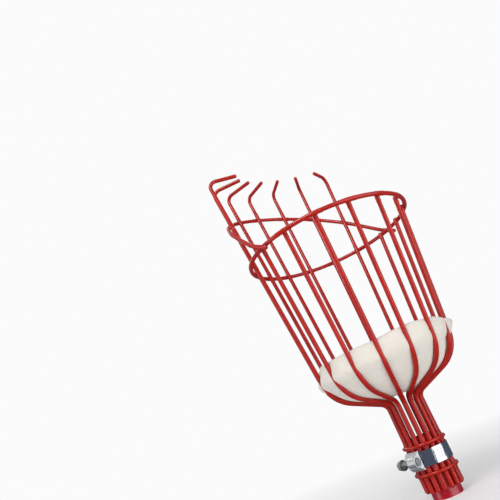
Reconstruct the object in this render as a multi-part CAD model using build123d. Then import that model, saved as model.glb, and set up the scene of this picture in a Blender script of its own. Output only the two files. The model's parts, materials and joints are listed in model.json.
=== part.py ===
from build123d import *

import math
import os

# Fruit picker basket: a cage of red coated wires on a pole socket.
# Millimetres. +Z is the pole's axis and points up into the basket.
# The origin is at the centre of the lower end of the pole sleeve.
# The tall picking tines stand at the back (+Y) and the low rim is at the front (-Y).

# --- wire cage ---
WIRE_DIAMETER = 4.0
COLLAR_WIRE_DIAMETER = 2.4
WELD_SINK = 0.3             # depth that two crossing wires sink into each other at a weld
RIM_WIRES = 9
RIM_WIRE_PITCH = 22.75      # degrees from one rim wire to the next
TINES = 7
TINE_PITCH = 21.25          # degrees from one tine to the next

SOCKET_RADIUS = 14.6        # of the wires' centre lines round the pole
WIRE_END_HEIGHT = 6.0
NECK_HEIGHT = 80.0          # where the wires turn out of the socket
NECK_BEND = 8.0
SHOULDER_RADIUS = 59.0      # where the flare turns up into the cage wall
SHOULDER_HEIGHT = 99.0
SHOULDER_BEND = 31.0
RIM_RADIUS = 77.0           # of the wires' centre lines at the rim
RIM_HEIGHT = 240.0
RIM_WIRE_TOP = 1.5          # how far a rim wire stands above the rim hoop's centre line

TINE_HEIGHT = 352.0         # of the corner where the middle tine turns inwards
END_TINE_HEIGHT = 341.5     # the same on the two end tines
TINE_BEND = 7.0
HOOK_REACH = 36.5           # from that corner towards the axis, on the middle tine
END_HOOK_REACH = 31.0       # the same on the two end tines
HOOK_DROP = 1.5
TIP_ROUNDING = 1.4

HOOP_RISE = 80.0            # of the tine hoop's crown over its level at the sides
HOOP_SIDE = 2.5             # height of the tine hoop's sides over the rim hoop
HOOP_LAP_ANGLE = 88.0       # from the middle tine to where the tine hoop laps the rim hoop
HOOP_LAP_HEIGHT = 5.0       # of that lap over the rim hoop, and of the ends below it
HOOP_LAP_SPREAD = 1.0       # how much further out the hoop runs where it laps
HOOP_END_ANGLE = 99.0       # from the middle tine to each end of the tine hoop
HOOP_FILLET = 0.45          # share of a run that its bend takes up at each end

LOWER_COLLAR_HEIGHT = 20.5
UPPER_COLLAR_HEIGHT = 42.5

# --- pole sleeve and foam pad ---
POLE_DIAMETER = 23.8        # a 15/16 inch handle
SLEEVE_LENGTH = 48.0

PAD_RADIUS = 66.0
PAD_BASE_RADIUS = 15.0
PAD_BASE_HEIGHT = 86.0
PAD_FLARE = 42.0, 95.0      # radius and height where the underside leaves the wires
PAD_WAIST = 57.0, 108.5
PAD_EDGE_LOW = 112.5        # lower and upper ends of the pad's upright edge
PAD_EDGE_HIGH = 133.0
PAD_LIP_RADIUS = 56.0       # where the top starts to dish
PAD_DISH_RADIUS = 22.0
PAD_DISH_HEIGHT = 114.0     # middle of the dished top
PAD_ROUNDING = 3.5

# --- worm drive clamp ---
CLAMP_ANGLE = -90.0         # direction of the housing, from the front (-Y) towards +X
CLAMP_HEIGHT = 32.3
BAND_WIDTH = 12.0
BAND_THICKNESS = 0.65
CLAMP_GAP = 0.3             # clearance between pieces that move past each other
BAND_JOINT = 7.0            # degrees from the housing's middle to each end of the band
TAIL_START = 4.0            # degrees from the housing's middle to the tail's hidden end
TAIL_END = 78.0             # degrees from the housing's middle to the tail's free end
GROOVE_STEP = 9.8           # degrees from one pressed worm groove to the next
BAND_GROOVES = 13
TAIL_GROOVES = 6
GROOVE_LENGTH = 7.6
GROOVE_WIDTH = 1.5
GROOVE_DEPTH = 0.3
GROOVE_SLANT = 8.0
TAIL_ROUNDING = 3.0
HOUSING_LENGTH = 12.8       # of the saddle
BARREL_LENGTH = 9.0         # of the closed tube over the worm, at its plain end
HOUSING_WIDTH = 14.6
HOUSING_WALL = 0.9
HOUSING_CHAMFER = 2.8
WORM_RADIUS = 2.9
WORM_PITCH = 3.0
WORM_GROOVE_RADIUS = 0.8    # of the round bottomed worm groove
WORM_GROOVES = 6
WORM_END = 0.6              # how far the worm stands out of the housing at its plain end
WORM_NECK = 4.2             # the same at its head
HEAD_ACROSS_FLATS = 7.0
HEAD_HEIGHT = 4.8
HEAD_FLANGE_RADIUS = 4.3
HEAD_FLANGE_THICKNESS = 1.0
HEAD_SLOT_WIDTH = 1.1
HEAD_SLOT_DEPTH = 1.8
HEAD_CHAMFER = 0.5

WIRE_RADIUS = WIRE_DIAMETER / 2
COLLAR_WIRE_RADIUS = COLLAR_WIRE_DIAMETER / 2
SLEEVE_RADIUS = SOCKET_RADIUS - WIRE_RADIUS
CAGE_SLOPE = (RIM_RADIUS - SHOULDER_RADIUS) / (RIM_HEIGHT - SHOULDER_HEIGHT)
HOOP_OFFSET = WIRE_DIAMETER - WELD_SINK
BAND_RADIUS = SOCKET_RADIUS + WIRE_RADIUS + CLAMP_GAP
TAIL_RADIUS = BAND_RADIUS + BAND_THICKNESS + CLAMP_GAP
SCREW_RADIUS = TAIL_RADIUS + BAND_THICKNESS + CLAMP_GAP + WORM_RADIUS


def cage_radius(height):
    """Radius of the straight cage wall's wires at a height above the origin."""
    return RIM_RADIUS + CAGE_SLOPE * (height - RIM_HEIGHT)


def bent_wire(corners, bends, angle):
    """A round wire through corners (radius, height) in the upright plane at an angle."""
    path = FilletPolyline(*[(r, 0, z) for r, z in corners], radius=bends)
    start = Plane(origin=path @ 0, z_dir=path % 0)
    wire = sweep(start * Circle(WIRE_RADIUS), path=path)
    ends = wire.faces().filter_by(GeomType.PLANE).edges()
    wire = fillet(ends, TIP_ROUNDING)
    return Rot(0, 0, angle - 90) * wire


def socket_and_flare():
    """Corners that every cage wire shares, from its lower end to the shoulder."""
    return [
        (SOCKET_RADIUS, WIRE_END_HEIGHT),
        (SOCKET_RADIUS, NECK_HEIGHT),
        (SHOULDER_RADIUS, SHOULDER_HEIGHT),
    ]


def rim_wire(number):
    """Wire of the front and sides, which ends at the rim hoop."""
    angle = (number - (RIM_WIRES + 1) / 2) * RIM_WIRE_PITCH
    top = RIM_HEIGHT + RIM_WIRE_TOP
    corners = socket_and_flare() + [(cage_radius(top), top)]
    return bent_wire(corners, [NECK_BEND, SHOULDER_BEND], angle)


def end_share(number):
    """0 on the middle tine, growing to 1 on the end tines."""
    half_spread = math.radians(TINE_PITCH * (TINES - 1) / 2)
    turn = math.radians(TINE_PITCH * (number - (TINES + 1) / 2))
    return (1 - math.cos(turn)) / (1 - math.cos(half_spread))


def tine_wire(number):
    """Wire of the back, which carries on above the rim and hooks inwards."""
    angle = 180 + (number - (TINES + 1) / 2) * TINE_PITCH
    share = end_share(number)
    height = TINE_HEIGHT + share * (END_TINE_HEIGHT - TINE_HEIGHT)
    reach = HOOK_REACH + share * (END_HOOK_REACH - HOOK_REACH)
    tip = (cage_radius(height) - reach, height - HOOK_DROP)
    corners = socket_and_flare() + [(cage_radius(height), height), tip]
    return bent_wire(corners, [NECK_BEND, SHOULDER_BEND, TINE_BEND], angle)


def ring(radius, height, wire_radius):
    """A closed round wire ring about the axis."""
    return Pos(0, 0, height) * Torus(radius, wire_radius)


def point_behind(angle, radius, height):
    """Point at an angle that is counted from the middle tine (+Y) towards +X."""
    turn = math.radians(angle)
    return Vector(radius * math.sin(turn), radius * math.cos(turn), height)


def hoop_point(angle):
    """Corner of the tine hoop's line where it crosses the tine at an angle."""
    height = RIM_HEIGHT + HOOP_SIDE + HOOP_RISE * math.cos(math.radians(angle))
    corner = RIM_RADIUS * (1 / math.cos(math.radians(TINE_PITCH / 2)) - 1)
    return point_behind(angle, cage_radius(height) + HOOP_OFFSET + corner, height)


def hoop_end(side):
    """Last two points of the tine hoop on one side, lapped over the outside of the rim hoop."""
    radius = RIM_RADIUS + 2 * HOOP_OFFSET
    lap_radius = radius + HOOP_LAP_SPREAD
    lap = point_behind(side * HOOP_LAP_ANGLE, lap_radius, RIM_HEIGHT + HOOP_LAP_HEIGHT)
    end = point_behind(side * HOOP_END_ANGLE, radius, RIM_HEIGHT - HOOP_LAP_HEIGHT)
    return [lap, end]


def tine_hoop():
    """Wire hoop over the outside of the tines, from one side of the rim to the other."""
    half = (TINES - 1) // 2
    crossings = [hoop_point(TINE_PITCH * step) for step in range(-half, half + 1)]
    points = hoop_end(-1)[::-1] + crossings + hoop_end(1)
    bends = []
    for before, corner, after in zip(points, points[1:], points[2:]):
        turn = math.radians((corner - before).get_angle(after - corner))
        run = min((corner - before).length, (after - corner).length)
        bends.append(HOOP_FILLET * run / math.tan(turn / 2))
    path = FilletPolyline(*points, radius=bends)
    start = Plane(origin=path @ 0, z_dir=path % 0)
    hoop = sweep(start * Circle(WIRE_RADIUS), path=path)
    ends = hoop.faces().filter_by(GeomType.PLANE).edges()
    return fillet(ends, TIP_ROUNDING)


def pole_sleeve():
    """Thin liner that the wires grip and the pole slides into."""
    bore = POLE_DIAMETER / 2
    upright = Align.CENTER, Align.CENTER, Align.MIN
    sleeve = Cylinder(SLEEVE_RADIUS, SLEEVE_LENGTH, align=upright)
    sleeve -= Cylinder(bore, SLEEVE_LENGTH, align=upright)
    return sleeve


def foam_pad():
    """Soft pad in the bottom of the cage, dished on top, with its edge out past the wires."""
    outline = Polyline(
        (0, PAD_DISH_HEIGHT),
        (0, PAD_BASE_HEIGHT),
        (PAD_BASE_RADIUS, PAD_BASE_HEIGHT),
        PAD_FLARE,
        PAD_WAIST,
        (PAD_RADIUS, PAD_EDGE_LOW),
        (PAD_RADIUS, PAD_EDGE_HIGH),
        (PAD_LIP_RADIUS, PAD_EDGE_HIGH),
        (PAD_DISH_RADIUS, PAD_DISH_HEIGHT),
        close=True,
    )
    section = make_face(outline)
    corners = section.vertices().filter_by(lambda corner: corner.X > PAD_ROUNDING)
    section = fillet(corners, PAD_ROUNDING)
    return revolve(Plane.XZ * section, Axis.Z)


def sector(inner, thickness, width, start, end):
    """Part of an upright band about the axis between two angles, counted like CLAMP_ANGLE."""
    cut = Pos(inner + thickness / 2, 0) * Rectangle(thickness, width)
    body = revolve(Plane.XZ * cut, Axis.Z, end - start)
    return Rot(0, 0, start - 90) * body


def groove_cutters(radius, first, count):
    """Slanted worm grooves pressed into the outside of a band, one for each step."""
    cutters = []
    for number in range(count):
        surface = Pos(0, -radius - BAND_THICKNESS, 0)
        cutter = surface * Rot(0, GROOVE_SLANT, 0) * Box(GROOVE_WIDTH, 2 * GROOVE_DEPTH, GROOVE_LENGTH)
        cutters.append(Rot(0, 0, first + GROOVE_STEP * number) * cutter)
    return cutters


def at_clamp(shape):
    """Turns a clamp piece made with its housing at the front to its real direction and height."""
    return Pos(0, 0, CLAMP_HEIGHT) * Rot(0, 0, CLAMP_ANGLE) * shape


def clamp_band():
    """The band's loop round the socket, grooved where it runs into the housing."""
    band = sector(BAND_RADIUS, BAND_THICKNESS, BAND_WIDTH, BAND_JOINT, 360 - BAND_JOINT)
    first = BAND_JOINT + GROOVE_STEP
    return at_clamp(band - groove_cutters(BAND_RADIUS, first, BAND_GROOVES))


def clamp_band_tail():
    """The band's free end, which slides out of the housing below the screw head."""
    tail = sector(TAIL_RADIUS, BAND_THICKNESS, BAND_WIDTH, -TAIL_END, TAIL_START)
    corners = tail.edges().filter_by(lambda e: e.length < BAND_THICKNESS + 0.01)
    free_end = corners.filter_by(lambda e: e.center().X < 0)
    tail = fillet(free_end, TAIL_ROUNDING)
    first = -TAIL_END + GROOVE_STEP
    return at_clamp(tail - groove_cutters(TAIL_RADIUS, first, TAIL_GROOVES))


def clamp_housing():
    """Stamped saddle over the bands, a barrel round the worm and an open cradle towards its head."""
    barrel_radius = WORM_RADIUS + CLAMP_GAP + HOUSING_WALL
    plain_side = (HOUSING_LENGTH - BARREL_LENGTH) / 2
    barrel = Pos(plain_side, -SCREW_RADIUS, 0) * Rot(0, 90, 0) * Cylinder(barrel_radius, BARREL_LENGTH)
    base_depth = SCREW_RADIUS - BAND_RADIUS
    base = Pos(0, -BAND_RADIUS - base_depth / 2, 0) * Box(HOUSING_LENGTH, base_depth, HOUSING_WIDTH)
    shoulders = base.edges().filter_by(Axis.X).sort_by(Axis.Y)[:2]
    housing = barrel + chamfer(shoulders, HOUSING_CHAMFER)
    tunnel_depth = TAIL_RADIUS + BAND_THICKNESS + CLAMP_GAP
    housing -= Cylinder(tunnel_depth, BAND_WIDTH + 2 * CLAMP_GAP)
    housing -= Cylinder(BAND_RADIUS, HOUSING_WIDTH)
    bore = Rot(0, 90, 0) * Cylinder(WORM_RADIUS + CLAMP_GAP, HOUSING_LENGTH)
    return at_clamp(housing - Pos(0, -SCREW_RADIUS, 0) * bore)


def clamp_screw():
    """Worm screw with a flanged hexagon head and a cross slot for a driver."""
    upright = Align.CENTER, Align.CENTER, Align.MIN
    length = WORM_END + HOUSING_LENGTH + WORM_NECK
    screw = Cylinder(WORM_RADIUS, length, align=upright)
    for number in range(WORM_GROOVES):
        groove = Torus(WORM_RADIUS, WORM_GROOVE_RADIUS)
        screw -= Pos(0, 0, (number + 0.5) * WORM_PITCH) * groove
    flange = Cylinder(HEAD_FLANGE_RADIUS, HEAD_FLANGE_THICKNESS, align=upright)
    hexagon = RegularPolygon(HEAD_ACROSS_FLATS / 2, 6, major_radius=False)
    head = extrude(hexagon, HEAD_HEIGHT)
    head = chamfer(head.faces().sort_by(Axis.Z)[-1].edges(), HEAD_CHAMFER)
    slot = Pos(0, 0, HEAD_HEIGHT) * Box(2 * HEAD_FLANGE_RADIUS, HEAD_SLOT_WIDTH, 2 * HEAD_SLOT_DEPTH)
    screw += Pos(0, 0, length) * (flange + head - slot)
    plain_end = Pos(0, 0, -HOUSING_LENGTH / 2 - WORM_END)
    return at_clamp(Pos(0, -SCREW_RADIUS, 0) * Rot(0, -90, 0) * plain_end * screw)


def all_parts():
    """Every piece of the basket, by the name of its node."""
    parts = {}
    for number in range(1, RIM_WIRES + 1):
        parts[f"rim_wire_{number}"] = rim_wire(number)
    for number in range(1, TINES + 1):
        parts[f"tine_wire_{number}"] = tine_wire(number)
    collar_radius = SOCKET_RADIUS + WIRE_RADIUS + COLLAR_WIRE_RADIUS - WELD_SINK
    parts["rim_hoop"] = ring(RIM_RADIUS + HOOP_OFFSET, RIM_HEIGHT, WIRE_RADIUS)
    parts["tine_hoop"] = tine_hoop()
    parts["upper_collar"] = ring(collar_radius, UPPER_COLLAR_HEIGHT, COLLAR_WIRE_RADIUS)
    parts["lower_collar"] = ring(collar_radius, LOWER_COLLAR_HEIGHT, COLLAR_WIRE_RADIUS)
    parts["pole_sleeve"] = pole_sleeve()
    parts["foam_pad"] = foam_pad()
    parts["clamp_band"] = clamp_band()
    parts["clamp_band_tail"] = clamp_band_tail()
    parts["clamp_housing"] = clamp_housing()
    parts["clamp_screw"] = clamp_screw()
    return parts


os.makedirs("parts", exist_ok=True)
for name, shape in all_parts().items():
    export_step(shape, f"parts/{name}.step")
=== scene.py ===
import json
import math

import bmesh
import bpy
import numpy as np
from mathutils import Matrix, Vector, noise


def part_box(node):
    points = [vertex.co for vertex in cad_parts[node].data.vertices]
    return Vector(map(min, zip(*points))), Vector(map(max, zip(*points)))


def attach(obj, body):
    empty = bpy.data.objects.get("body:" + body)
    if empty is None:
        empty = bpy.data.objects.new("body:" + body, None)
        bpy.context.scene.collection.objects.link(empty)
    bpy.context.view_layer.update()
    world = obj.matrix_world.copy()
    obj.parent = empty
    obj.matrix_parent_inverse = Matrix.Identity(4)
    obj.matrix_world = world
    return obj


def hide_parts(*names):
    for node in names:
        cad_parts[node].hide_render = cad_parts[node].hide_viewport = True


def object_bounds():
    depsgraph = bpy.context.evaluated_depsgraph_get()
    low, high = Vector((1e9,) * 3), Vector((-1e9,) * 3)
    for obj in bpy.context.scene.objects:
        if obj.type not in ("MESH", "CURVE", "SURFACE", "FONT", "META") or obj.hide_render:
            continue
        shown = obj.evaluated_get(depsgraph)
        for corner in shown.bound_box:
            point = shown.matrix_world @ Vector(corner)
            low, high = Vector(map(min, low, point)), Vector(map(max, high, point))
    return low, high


# Fruit picker basket: materials on every CAD piece, the swollen foam pad, the coating
# that gathers where wires cross, and a plain pale studio.

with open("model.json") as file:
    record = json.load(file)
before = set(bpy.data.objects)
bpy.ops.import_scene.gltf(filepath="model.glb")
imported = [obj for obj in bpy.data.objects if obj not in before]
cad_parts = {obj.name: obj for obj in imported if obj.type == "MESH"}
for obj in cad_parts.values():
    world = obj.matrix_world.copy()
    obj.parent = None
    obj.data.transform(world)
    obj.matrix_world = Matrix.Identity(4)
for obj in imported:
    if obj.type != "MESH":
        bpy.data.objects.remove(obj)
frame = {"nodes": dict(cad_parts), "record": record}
cad_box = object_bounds()
nodes = frame["nodes"]
scene = bpy.context.scene
MM = 0.001

# --- the cage's design lines, in millimetres about the pole's axis ---
RIM_WIRES = 9
RIM_WIRE_PITCH = 22.75      # degrees from one rim wire to the next, rim_wire_5 at the front (-Y)
TINES = 7
TINE_PITCH = 21.25          # degrees from one tine to the next, tine_wire_4 at the back (+Y)
RIM_RADIUS = 77.0           # of the wires' centre lines at the rim hoop
RIM_HEIGHT = 240.0
CAGE_SLOPE = 18.0 / 141.0   # of the cage wall: growth of its radius over its rise
HOOP_OFFSET = 3.7           # from a wire's centre line to that of a hoop welded outside it
HOOP_SIDE = 2.5             # height of the tine hoop's sides over the rim hoop
HOOP_RISE = 80.0            # of the tine hoop's crown over its sides
HOOP_LAP = 88.0, 99.0       # degrees from the middle tine between which it laps the rim hoop


def rim_angle(number):
    """Angle of a rim wire, counted from -Y towards +X, in degrees."""
    return (number - (RIM_WIRES + 1) / 2) * RIM_WIRE_PITCH


def tine_angle(number):
    """Angle of a tine, counted from -Y towards +X, in degrees."""
    return 180 + (number - (TINES + 1) / 2) * TINE_PITCH


RIM_WIRE_ANGLES = {f"rim_wire_{n}": rim_angle(n) for n in range(1, RIM_WIRES + 1)}
TINE_ANGLES = {f"tine_wire_{n}": tine_angle(n) for n in range(1, TINES + 1)}
WIRE_ANGLES = RIM_WIRE_ANGLES | TINE_ANGLES


def around(angle, radius, height):
    """Point in metres at an angle counted from -Y towards +X."""
    turn = math.radians(angle)
    return Vector((radius * math.sin(turn), -radius * math.cos(turn), height)) * MM


def cage_radius(height):
    """Radius of the straight cage wall's wires at a height."""
    return RIM_RADIUS + CAGE_SLOPE * (height - RIM_HEIGHT)


# ---------------------------------------------------------------- materials


class Shader:
    """Builds one node material, a node at a time."""

    def __init__(self, name):
        self.material = bpy.data.materials.new(name)
        self.material.use_nodes = True
        self.tree = self.material.node_tree
        self.surface = self.tree.nodes["Principled BSDF"]
        self.place = self.tree.nodes.new("ShaderNodeTexCoord").outputs["Object"]

    def link(self, source, target):
        self.tree.links.new(source, target)

    def put(self, **values):
        """Sets or links the surface's own sockets, named with _ for each space."""
        for name, value in values.items():
            socket = self.surface.inputs[name.replace("_", " ")]
            if isinstance(value, bpy.types.NodeSocket):
                self.link(value, socket)
            else:
                socket.default_value = value

    def wrapped(self, along, across):
        """Coordinates that run round the pole's axis, so that a grain goes round with the piece."""
        split = self.tree.nodes.new("ShaderNodeSeparateXYZ")
        self.link(self.place, split.inputs[0])
        angle = self.maths("ARCTAN2", split.outputs["Y"], split.outputs["X"])
        join = self.tree.nodes.new("ShaderNodeCombineXYZ")
        self.link(self.maths("MULTIPLY", angle, along), join.inputs["X"])
        self.link(self.maths("MULTIPLY", split.outputs["Z"], across), join.inputs["Y"])
        return join.outputs[0]

    def maths(self, operation, *values):
        node = self.tree.nodes.new("ShaderNodeMath")
        node.operation = operation
        for socket, value in zip(node.inputs, values):
            if isinstance(value, bpy.types.NodeSocket):
                self.link(value, socket)
            else:
                socket.default_value = value
        return node.outputs[0]

    def noise(self, scale, detail=3.0, rough=0.5, vector=None):
        node = self.tree.nodes.new("ShaderNodeTexNoise")
        node.inputs["Scale"].default_value = scale
        node.inputs["Detail"].default_value = detail
        node.inputs["Roughness"].default_value = rough
        self.link(vector or self.place, node.inputs["Vector"])
        return node.outputs["Fac"]

    def cells(self, scale):
        """Distance to the nearest of many scattered points."""
        node = self.tree.nodes.new("ShaderNodeTexVoronoi")
        node.inputs["Scale"].default_value = scale
        self.link(self.place, node.inputs["Vector"])
        return node.outputs["Distance"]

    def spread(self, value, low, high, start=0.3, end=0.7):
        """Maps a texture value from start..end to low..high."""
        node = self.tree.nodes.new("ShaderNodeMapRange")
        numbers = {"From Min": start, "From Max": end, "To Min": low, "To Max": high}
        for name, number in numbers.items():
            node.inputs[name].default_value = number
        self.link(value, node.inputs["Value"])
        return node.outputs["Result"]

    def blend(self, share, first, second):
        """Mixes two colours, each a socket or three numbers, by a socket's share of the second."""
        node = self.tree.nodes.new("ShaderNodeMix")
        node.data_type = "RGBA"
        self.link(share, node.inputs["Factor"])
        for socket, colour in ((node.inputs[6], first), (node.inputs[7], second)):
            if isinstance(colour, bpy.types.NodeSocket):
                self.link(colour, socket)
            else:
                socket.default_value = (*colour, 1)
        return node.outputs[2]

    def bump(self, height, distance, strength, below=None):
        """A bumped normal, on top of another bump if one is given."""
        node = self.tree.nodes.new("ShaderNodeBump")
        node.inputs["Strength"].default_value = strength
        node.inputs["Distance"].default_value = distance
        self.link(height, node.inputs["Height"])
        if below:
            self.link(below, node.inputs["Normal"])
        return node.outputs["Normal"]


def coated_wire():
    """Glossy red dipped coating, a little uneven in thickness."""
    s = Shader("coated_wire")
    thick_red, thin_red, speck_red = (0.43, 0.010, 0.003), (0.32, 0.006, 0.002), (0.24, 0.004, 0.002)
    patches = s.spread(s.noise(70, detail=4, rough=0.55), 0, 1)
    colour = s.blend(patches, thick_red, thin_red)
    specks = s.spread(s.noise(900, detail=2), 0, 0.35, start=0.6, end=0.75)
    colour = s.blend(specks, colour, speck_red)
    waves = s.bump(s.noise(160, detail=2), distance=0.0003, strength=0.12)
    peel = s.bump(s.noise(1100, detail=2), distance=0.00005, strength=0.1, below=waves)
    gloss = s.spread(s.noise(260, detail=4, rough=0.6), 0.24, 0.4)
    s.put(Base_Color=colour, Roughness=gloss, Normal=peel)
    s.put(Coat_Weight=0.5, Coat_Roughness=0.1, IOR=1.5, Specular_IOR_Level=0.25)
    return s.material


def sleeve_plastic():
    """Glossy crimson liner with faint draw lines."""
    s = Shader("sleeve")
    crimson, dark_crimson = (0.42, 0.003, 0.014), (0.31, 0.002, 0.010)
    lines = s.noise(1.0, detail=3, rough=0.6, vector=s.wrapped(along=60, across=25))
    colour = s.blend(s.spread(lines, 0, 1), crimson, dark_crimson)
    ridges = s.noise(1.0, detail=2, vector=s.wrapped(along=90, across=60))
    s.put(Base_Color=colour, Roughness=s.spread(s.noise(300), 0.1, 0.2))
    s.put(Normal=s.bump(ridges, distance=0.0004, strength=0.3))
    s.put(Coat_Weight=0.7, Coat_Roughness=0.08, IOR=1.5)
    return s.material


def foam():
    """Cream open-cell foam: fine pores with painted shade in their pits, soft mottling."""
    s = Shader("foam")
    cream, shaded_cream, pore_shade = (0.73, 0.695, 0.63), (0.69, 0.65, 0.585), (0.52, 0.46, 0.39)
    mottle = s.spread(s.noise(45, detail=4, rough=0.6), 0, 1)
    colour = s.blend(mottle, cream, shaded_cream)
    pores = s.cells(1500)
    # Painted shade: the colour darkens towards brown in the pits of the pores, where shade falls.
    colour = s.blend(s.spread(pores, 0.28, 0, start=0.05, end=0.45), colour, pore_shade)
    skin = s.bump(s.noise(240, rough=0.55), distance=0.0011, strength=0.35)
    pits = s.bump(pores, distance=0.0007, strength=0.55, below=skin)
    grain = s.bump(s.noise(2600, rough=0.6), distance=0.0003, strength=0.4, below=pits)
    s.put(Base_Color=colour, Roughness=0.93, Normal=grain)
    s.put(Subsurface_Weight=0.12, Subsurface_Scale=0.004, Sheen_Weight=0.18, Sheen_Roughness=0.6)
    s.put(Specular_IOR_Level=0.2)
    return s.material


def rolled_zinc():
    """Bright zinc on rolled strip: a fine grain that follows the band."""
    s = Shader("zinc_band")
    bright, cloudy, scratched = (0.76, 0.79, 0.84), (0.60, 0.64, 0.71), (0.42, 0.45, 0.50)
    grain = s.noise(1.0, detail=4, rough=0.65, vector=s.wrapped(along=22, across=9000))
    cloud = s.spread(s.noise(180, detail=4, rough=0.6), 0, 1)
    colour = s.blend(cloud, bright, cloudy)
    colour = s.blend(s.spread(grain, 0, 0.3), colour, scratched)
    s.put(Base_Color=colour, Metallic=1.0, Roughness=s.spread(grain, 0.10, 0.2))
    s.put(Normal=s.bump(grain, distance=0.00006, strength=0.35))
    return s.material


def stamped_zinc():
    """Bright zinc on a pressed housing, with soft dents and a cloudy plating."""
    s = Shader("zinc_housing")
    bright, cloudy, marked = (0.84, 0.86, 0.85), (0.66, 0.70, 0.70), (0.42, 0.45, 0.46)
    cloud = s.spread(s.noise(300, detail=5, rough=0.65), 0, 1)
    colour = s.blend(cloud, bright, cloudy)
    marks = s.spread(s.noise(1600, rough=0.6), 0, 0.5, start=0.58, end=0.75)
    colour = s.blend(marks, colour, marked)
    gloss = s.spread(s.noise(700, detail=4, rough=0.6), 0.32, 0.48)
    s.put(Base_Color=colour, Metallic=0.85, Roughness=gloss)
    dents = s.bump(s.noise(380), distance=0.0004, strength=0.3)
    s.put(Normal=s.bump(s.noise(2400, detail=2), distance=0.00005, strength=0.4, below=dents))
    return s.material


def dark_zinc():
    """Dull grey plated screw, darker in patches."""
    s = Shader("dark_zinc")
    grey, dark_grey = (0.40, 0.405, 0.41), (0.20, 0.205, 0.21)
    cloud = s.spread(s.noise(500, detail=5, rough=0.65), 0, 1)
    gloss = s.spread(s.noise(900, detail=4, rough=0.6), 0.3, 0.46)
    s.put(Base_Color=s.blend(cloud, grey, dark_grey), Metallic=0.85, Roughness=gloss)
    s.put(Normal=s.bump(s.noise(1500), distance=0.00012, strength=0.4))
    return s.material


MATERIALS = {
    "coated_wire": coated_wire(),
    "sleeve": sleeve_plastic(),
    "foam": foam(),
    "zinc_band": rolled_zinc(),
    "zinc_housing": stamped_zinc(),
    "dark_zinc": dark_zinc(),
}
for part in frame["record"]["subparts"]:
    mesh = nodes[part["node"]].data
    mesh.materials.clear()
    mesh.materials.append(MATERIALS[part["material_slot"]])


def add_piece(name, mesh, slot):
    """Puts a mesh that is already in the shared frame into the scene, on the cage."""
    piece = bpy.data.objects.new(name, mesh)
    scene.collection.objects.link(piece)
    mesh.materials.clear()
    mesh.materials.append(MATERIALS[slot])
    mesh.shade_smooth()
    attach(piece, "cage")
    return piece


# ---------------------------------------------------------------- foam pad
# Two outlines of the pad, (radius, height) in millimetres from the middle of the top,
# out over the edge and in along the underside: half way between two wires, and at a wire.

PAD_BETWEEN = [
    (0, 114.0), (12, 114.2), (24, 115.6), (38, 121.6), (48.0, 128.2), (54.6, 131.7),
    (58.8, 132.8), (61.0, 132.0), (62.3, 129.8), (63.3, 125.5), (63.9, 121.0), (63.8, 117.0),
    (62.8, 113.4), (60.7, 110.0), (57.6, 106.4), (53.9, 101.9), (49.0, 96.8), (42.0, 92.4),
    (30.5, 88.0), (20.5, 85.0), (12.0, 84.6), (0, 84.6),
]
PAD_AT_WIRE = [
    (0, 114.0), (12, 114.2), (24, 115.6), (38, 121.5), (47.6, 127.9), (53.8, 131.2),
    (57.9, 132.3), (60.1, 131.5), (61.0, 129.3), (60.9, 124.8), (60.7, 120.4), (60.9, 117.0),
    (60.4, 113.8), (58.7, 110.6), (56.0, 107.0), (52.6, 102.5), (48.0, 97.8), (41.2, 93.6),
    (30.2, 89.0), (20.2, 85.3), (12.0, 84.8), (0, 84.8),
]
OUTLINE_STEPS = 5           # points along each run of an outline
GAP_STEPS = 26              # points round the pad from one wire to the next
PAD_SWELL = 0.5             # exponent of the swelling between wires: lower is fuller
PRESS_SPREAD = 0.5          # how much harder or softer one wire presses than another
PRESS_MOST = 1.15           # times the depth of PAD_AT_WIRE
PRESS_NOISE = 7.3, 4.1, 0.7     # step from wire to wire through the noise, and its other two places

# How the cut edge strays from those outlines: direction from -Y towards +X, how much lower
# the top's edge is, and how much further out the top's edge and the lower corner are.
PAD_STRAY = [
    (-175, 2.0, -2.0, 0.5), (-128, 2.0, -5.0, 1.5), (-95, 4.0, -1.5, 1.0), (-65, 3.9, 0.0, 0.0),
    (-42, 3.8, 0.5, 0.0), (-20, 1.6, 0.5, 0.0), (5, 1.8, 0.5, -1.0), (28, 5.5, 3.5, -3.0),
    (48, 7.0, 7.0, -5.0), (70, 6.0, 3.5, -3.0), (110, 2.5, 0.0, -1.0), (145, 1.5, -0.5, 0.5),
]
STRAY_BLUR = 14.0           # degrees over which one of those directions blends into the next
STRAY_OUTER = 30, 30        # radius where the straying starts, and over which it becomes full
STRAY_UPPER = 112, 18       # the same in height, for the top's edge
STRAY_LOWER = 96, 14        # the same in height, for the lower corner

PAD_RIPPLES = [(13, 0.55), (4.5, 0.22)]     # size of the foam's unevenness, and its reach
RIPPLE_OUT = 0.8            # shares of it that move the surface outwards and upwards
RIPPLE_UP = 0.7
CALM_RADIUS = 8             # round the axis, where it fades away
NO_DIRECTION_RADIUS = 1     # round the axis, where no point moves outwards


def smooth_line(points, steps):
    """Catmull-Rom curve through the points."""
    points = np.array(points, float)
    padded = np.vstack([2 * points[0] - points[1], points, 2 * points[-1] - points[-2]])
    share = np.arange(steps)[:, None] / steps
    runs = []
    for a, b, c, d in zip(padded, padded[1:], padded[2:], padded[3:]):
        square = 2 * a - 5 * b + 4 * c - d
        cube = 3 * b - a - 3 * c + d
        runs.append(0.5 * (2 * b + (c - a) * share + square * share**2 + cube * share**3))
    return np.vstack(runs + [points[-1:]])


def pad_outline(points):
    """Smooth outline that never crosses the axis."""
    line = smooth_line(points, OUTLINE_STEPS)
    line[:, 0] = line[:, 0].clip(0)
    return line


def ramp(value, start, length):
    """0 up to a start, growing to 1 over a length."""
    return max(0.0, min(1.0, (value - start) / length))


def ripple(point, size, reach):
    """Smooth repeatable unevenness at a point, in the unit of reach."""
    return reach * noise.noise(Vector(point) / size)


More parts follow.
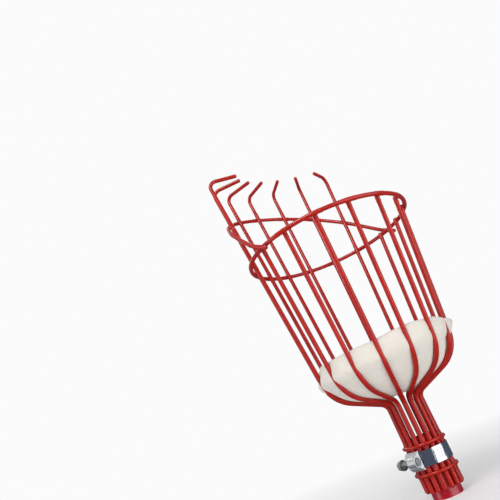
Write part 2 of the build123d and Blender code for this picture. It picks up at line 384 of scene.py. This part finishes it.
def wire_press(wire):
    """How deep a wire presses into the pad: 1 is as PAD_AT_WIRE."""
    step, *others = PRESS_NOISE
    return min(1 + PRESS_SPREAD * noise.noise(Vector((wire * step, *others))), PRESS_MOST)


def pad_stray(angle):
    """Drop of the top's edge and shifts of the top's edge and the lower corner, in a direction."""
    table = np.array(PAD_STRAY)
    away = (table[:, 0] - angle + 180) % 360 - 180
    weights = np.exp(-((away / STRAY_BLUR) ** 2))
    return weights @ table[:, 1:] / weights.sum()


def pad_columns():
    """Directions round the pad, each with its share of PAD_BETWEEN over PAD_AT_WIRE."""
    angles = sorted((angle + 180) % 360 - 180 for angle in WIRE_ANGLES.values())
    for wire, (start, end) in enumerate(zip(angles, angles[1:] + [angles[0] + 360])):
        for step in range(GAP_STEPS):
            share = step / GAP_STEPS
            swell = math.sin(math.pi * share) ** PAD_SWELL
            nearest = round(wire + share) % len(angles)
            yield start + (end - start) * share, 1 - (1 - swell) * wire_press(nearest)


def pad_point(angle, radius, height, stray):
    """Point of the pad's surface in metres, strayed and rippled."""
    drop, top_shift, low_shift = stray
    outer = ramp(radius, *STRAY_OUTER)
    upper = ramp(height, *STRAY_UPPER)
    lower = ramp(height, *STRAY_LOWER)
    radius += outer**2 * (upper * top_shift + (1 - upper) * lower * low_shift)
    point = around(angle, radius, height - drop * outer * upper) / MM
    rough = sum(ripple(point, size, reach) for size, reach in PAD_RIPPLES)
    out = Vector((point.x, point.y, 0)).normalized() if radius > NO_DIRECTION_RADIUS else Vector()
    share = min(1.0, radius / CALM_RADIUS)
    point += out * rough * share * RIPPLE_OUT + Vector((0, 0, rough * RIPPLE_UP * share))
    return point * MM


def foam_pad_mesh():
    """The pad's closed surface: swollen between the wires and pressed in at each of them."""
    between, pressed = pad_outline(PAD_BETWEEN), pad_outline(PAD_AT_WIRE)
    columns = list(pad_columns())
    verts = []
    for angle, weight in columns:
        stray = pad_stray(angle)
        for radius, height in pressed + (between - pressed) * weight:
            verts.append(pad_point(angle, radius, height, stray))
    top, bottom = len(verts), len(verts) + 1
    verts += [Vector((0, 0, PAD_BETWEEN[0][1])) * MM, Vector((0, 0, PAD_BETWEEN[-1][1])) * MM]
    count = len(between)
    faces = []
    for column in range(len(columns)):
        here, there = column * count, (column + 1) % len(columns) * count
        faces.append((top, here + 1, there + 1))
        for row in range(1, count - 2):
            faces.append((here + row, here + row + 1, there + row + 1, there + row))
        faces.append((here + count - 2, bottom, there + count - 2))
    mesh = bpy.data.meshes.new("foam_pad_soft")
    mesh.from_pydata([v[:] for v in verts], [], faces)
    shape = bmesh.new()
    shape.from_mesh(mesh)
    loose = [v for v in shape.verts if not v.link_faces]
    bmesh.ops.delete(shape, geom=loose, context="VERTS")
    bmesh.ops.recalc_face_normals(shape, faces=shape.faces)
    shape.to_mesh(mesh)
    shape.free()
    return mesh


pad = add_piece("foam_pad_soft", foam_pad_mesh(), "foam")
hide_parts("foam_pad")


# ---------------------------------------------------------------- coating webs
# The dipped coating gathers in the corners where wires cross.

WEB_VOXEL = 0.3 * MM
WEB_SMOOTHING = 0.5, 45     # strength and rounds
WEB_SWELL = 0.27 * MM       # puts back what the smoothing takes off the wires
WEB_REACH = 6.5 * MM        # from a crossing, along each axis
COLLAR_WEB_MARGIN = 1.0 * MM, 1.0 * MM, 3.2 * MM    # outside a collar's box, along each axis
SAME_POINT = 1e-6           # corners of the CAD triangles that are nearer than this are one


def cut_out(shape, node, low, high):
    """Adds the part of a CAD node that lies in a box to a bmesh, closed at the cuts."""
    mesh = nodes[node].data
    mesh.calc_loop_triangles()
    points = np.zeros(len(mesh.vertices) * 3)
    mesh.vertices.foreach_get("co", points)
    points = points.reshape(-1, 3)
    corners = np.zeros(len(mesh.loop_triangles) * 3, np.int64)
    mesh.loop_triangles.foreach_get("vertices", corners)
    triangles = corners.reshape(-1, 3)
    spans = points[triangles]
    inside = (spans.max(1) > np.array(low)).all(1) & (spans.min(1) < np.array(high)).all(1)
    piece = bmesh.new()
    kept = {}
    for triangle in triangles[inside]:
        for index in triangle:
            if index not in kept:
                kept[index] = piece.verts.new(points[index])
        piece.faces.new([kept[index] for index in triangle])
    bmesh.ops.remove_doubles(piece, verts=piece.verts, dist=SAME_POINT)
    for axis in range(3):
        for corner, side in ((low, -1), (high, 1)):
            cut_off(piece, corner, axis, side)
    part = bpy.data.meshes.new("cut")
    piece.to_mesh(part)
    piece.free()
    shape.from_mesh(part)
    bpy.data.meshes.remove(part)


def cut_off(piece, corner, axis, side):
    """Takes away what lies past a corner along an axis, and closes the cut."""
    normal = Vector((0, 0, 0))
    normal[axis] = side
    geometry = list(piece.verts) + list(piece.edges) + list(piece.faces)
    bmesh.ops.bisect_plane(piece, geom=geometry, plane_co=corner, plane_no=normal, clear_outer=True)
    rim = [edge for edge in piece.edges if edge.is_boundary]
    if rim:
        bmesh.ops.holes_fill(piece, edges=rim, sides=0)


def web_mesh(name, crossings):
    """Coating gathered round crossings, each given as (nodes, lowest corner, highest corner)."""
    merged = bmesh.new()
    for names, low, high in crossings:
        shape = bmesh.new()
        for node in names:
            cut_out(shape, node, low, high)
        mesh = bpy.data.meshes.new(name)
        shape.to_mesh(mesh)
        shape.free()
        blob = bpy.data.objects.new(name, mesh)
        scene.collection.objects.link(blob)
        remesh = blob.modifiers.new("Remesh", "REMESH")
        remesh.mode = "VOXEL"
        remesh.voxel_size = WEB_VOXEL
        smooth = blob.modifiers.new("Smooth", "SMOOTH")
        smooth.factor, smooth.iterations = WEB_SMOOTHING
        swell = blob.modifiers.new("Swell", "DISPLACE")
        swell.mid_level = 0
        swell.strength = WEB_SWELL
        evaluated = blob.evaluated_get(bpy.context.evaluated_depsgraph_get())
        made = bpy.data.meshes.new_from_object(evaluated)
        merged.from_mesh(made)
        bpy.data.objects.remove(blob)
        bpy.data.meshes.remove(made)
    result = bpy.data.meshes.new(name)
    merged.to_mesh(result)
    merged.free()
    return result


def box_round(centre):
    """Corners of the cube of WEB_REACH about a point."""
    reach = Vector((WEB_REACH,) * 3)
    return centre - reach, centre + reach


def rim_crossings():
    """Every wire where it crosses the rim hoop."""
    for wire, angle in WIRE_ANGLES.items():
        centre = around(angle, RIM_RADIUS + HOOP_OFFSET / 2, RIM_HEIGHT)
        yield (wire, "rim_hoop"), *box_round(centre)


def tine_crossings():
    """Every tine where it crosses the tine hoop."""
    for wire, angle in TINE_ANGLES.items():
        height = RIM_HEIGHT + HOOP_SIDE - HOOP_RISE * math.cos(math.radians(angle))
        centre = around(angle, cage_radius(height) + HOOP_OFFSET / 2, height)
        yield (wire, "tine_hoop"), *box_round(centre)


def hoop_laps():
    """Both places where the tine hoop laps over the outside of the rim hoop."""
    for side in (-1, 1):
        angle = 180 + side * sum(HOOP_LAP) / 2
        centre = around(angle, RIM_RADIUS + 1.5 * HOOP_OFFSET, RIM_HEIGHT)
        yield ("rim_hoop", "tine_hoop"), *box_round(centre)


def collar_crossings(collar):
    """One collar with all the wires that it holds."""
    low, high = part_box(collar)
    margin = Vector(COLLAR_WEB_MARGIN)
    yield (collar, *WIRE_ANGLES), low - margin, high + margin


add_piece("rim_webs", web_mesh("rim_webs", rim_crossings()), "coated_wire")
add_piece("tine_hoop_webs", web_mesh("tine_hoop_webs", tine_crossings()), "coated_wire")
add_piece("hoop_lap_webs", web_mesh("hoop_lap_webs", hoop_laps()), "coated_wire")
for collar in ("upper_collar", "lower_collar"):
    name = collar + "_webs"
    add_piece(name, web_mesh(name, collar_crossings(collar)), "coated_wire")


# ---------------------------------------------------------------- floor, lights, camera

FLOOR_HALF = 6.0
FLOOR_COLOUR = 0.86, 0.86, 0.86
FLOOR_FADE = 0.06, 0.5      # distances between which the floor turns as bright as the backdrop
FLOOR_GLOW = 0.3            # share of that brightness at the object
BACKDROP = 0.965, 0.965, 0.97
BACKDROP_STRENGTH = 1.0
FILL_LOW = 0.21, 0.24, 0.32     # light from the room: level with the object, and overhead
FILL_HIGH = 1.0, 1.0, 1.0
FILL_HIGH_FROM = 0.75       # upward share of a direction from which it counts as overhead
FILL_STRENGTH = 0.42

MIDDLE = (cad_box[0] + cad_box[1]) / 2
# name, place, point that it faces, width, height, watts, and whether gloss mirrors it
LIGHTS = [
    ("key", (-0.75, -0.35, 0.95), MIDDLE, 0.5, 0.5, 6.5, True),
    ("side", (0.13, -0.90, 0.12), (0, 0, 0.12), 1.0, 0.9, 5.2, True),
    ("left", (-0.79, 0.44, 0.2), (0, 0, 0.2), 0.5, 0.9, 1.9, True),
    ("back", (0.5, 0.9, 0.8), MIDDLE, 0.8, 0.5, 1.8, True),
    ("low", (-0.45, -0.55, 0.04), MIDDLE, 0.6, 0.3, 1.8, False),
]

CAMERA_PLACE = Vector((-0.33085, -0.32924, 0.0838))
CAMERA_TARGET = Vector((-0.0749, 0.0230, 0.25196))
CAMERA_ROLL = 22.21         # degrees, clockwise about the view direction
CAMERA_LENS = 35.556        # millimetres, as the sensor's width
CAMERA_SENSOR = 36
CAMERA_CLIP = 0.01, 50


def facing(place, target):
    """Turn of a light or camera that looks from a place to a target."""
    return (Vector(target) - Vector(place)).to_track_quat("-Z", "Y")


def pale_floor():
    """Plain pale floor that fades into the backdrop's brightness away from the object."""
    s = Shader("floor")
    s.put(Base_Color=(*FLOOR_COLOUR, 1), Roughness=0.8)
    glow = s.tree.nodes.new("ShaderNodeEmission")
    glow.inputs["Color"].default_value = (*BACKDROP, 1)
    glow.inputs["Strength"].default_value = BACKDROP_STRENGTH
    far = s.tree.nodes.new("ShaderNodeVectorMath")
    far.operation = "LENGTH"
    s.link(s.place, far.inputs[0])
    mix = s.tree.nodes.new("ShaderNodeMixShader")
    s.link(s.spread(far.outputs["Value"], FLOOR_GLOW, 1, *FLOOR_FADE), mix.inputs[0])
    s.link(s.surface.outputs[0], mix.inputs[1])
    s.link(glow.outputs[0], mix.inputs[2])
    s.link(mix.outputs[0], s.tree.nodes["Material Output"].inputs["Surface"])
    mesh = bpy.data.meshes.new("floor")
    corners = [(x * FLOOR_HALF, y * FLOOR_HALF, 0) for x, y in ((-1, -1), (1, -1), (1, 1), (-1, 1))]
    mesh.from_pydata(corners, [], [(0, 1, 2, 3)])
    mesh.materials.append(s.material)
    floor = bpy.data.objects.new("floor", mesh)
    floor.location.z = cad_box[0].z
    scene.collection.objects.link(floor)
    floor.visible_glossy = False


def studio_world():
    """Pale backdrop for the camera, and for everything else a room that brightens upwards."""
    world = bpy.data.worlds.new("backdrop")
    scene.world = world
    world.use_nodes = True
    tree = world.node_tree
    seen = tree.nodes["Background"]
    seen.inputs["Color"].default_value = (*BACKDROP, 1)
    seen.inputs["Strength"].default_value = BACKDROP_STRENGTH
    fill = tree.nodes.new("ShaderNodeBackground")
    fill.inputs["Strength"].default_value = FILL_STRENGTH
    direction = tree.nodes.new("ShaderNodeTexCoord").outputs["Generated"]
    split = tree.nodes.new("ShaderNodeSeparateXYZ")
    tree.links.new(direction, split.inputs[0])
    shades = tree.nodes.new("ShaderNodeValToRGB")
    level, overhead = shades.color_ramp.elements
    level.position = 0.0
    level.color = (*FILL_LOW, 1)
    overhead.position = FILL_HIGH_FROM
    overhead.color = (*FILL_HIGH, 1)
    tree.links.new(split.outputs["Z"], shades.inputs[0])
    tree.links.new(shades.outputs[0], fill.inputs["Color"])
    path = tree.nodes.new("ShaderNodeLightPath")
    mix = tree.nodes.new("ShaderNodeMixShader")
    tree.links.new(path.outputs["Is Camera Ray"], mix.inputs[0])
    tree.links.new(fill.outputs[0], mix.inputs[1])
    tree.links.new(seen.outputs[0], mix.inputs[2])
    tree.links.new(mix.outputs[0], tree.nodes["World Output"].inputs["Surface"])


def soft_light(name, place, target, width, height, power, mirrored):
    """A rectangular studio softbox that faces a point."""
    data = bpy.data.lights.new(name, "AREA")
    data.shape = "RECTANGLE"
    data.size = width
    data.size_y = height
    data.energy = power
    light = bpy.data.objects.new(name, data)
    light.location = place
    light.rotation_euler = facing(place, target).to_euler()
    light.visible_glossy = mirrored
    scene.collection.objects.link(light)


def add_camera():
    """Camera at the object's front left, rolled so that the basket leans to the left."""
    data = bpy.data.cameras.new("camera")
    data.sensor_width = CAMERA_SENSOR
    data.lens = CAMERA_LENS
    data.clip_start, data.clip_end = CAMERA_CLIP
    camera = bpy.data.objects.new("camera", data)
    level = facing(CAMERA_PLACE, CAMERA_TARGET).to_matrix()
    roll = Matrix.Rotation(math.radians(-CAMERA_ROLL), 3, "Z")
    camera.matrix_world = Matrix.Translation(CAMERA_PLACE) @ (level @ roll).to_4x4()
    scene.collection.objects.link(camera)
    scene.camera = camera


pale_floor()
studio_world()
scene.view_settings.view_transform = "Standard"
for light in LIGHTS:
    soft_light(*light)
add_camera()
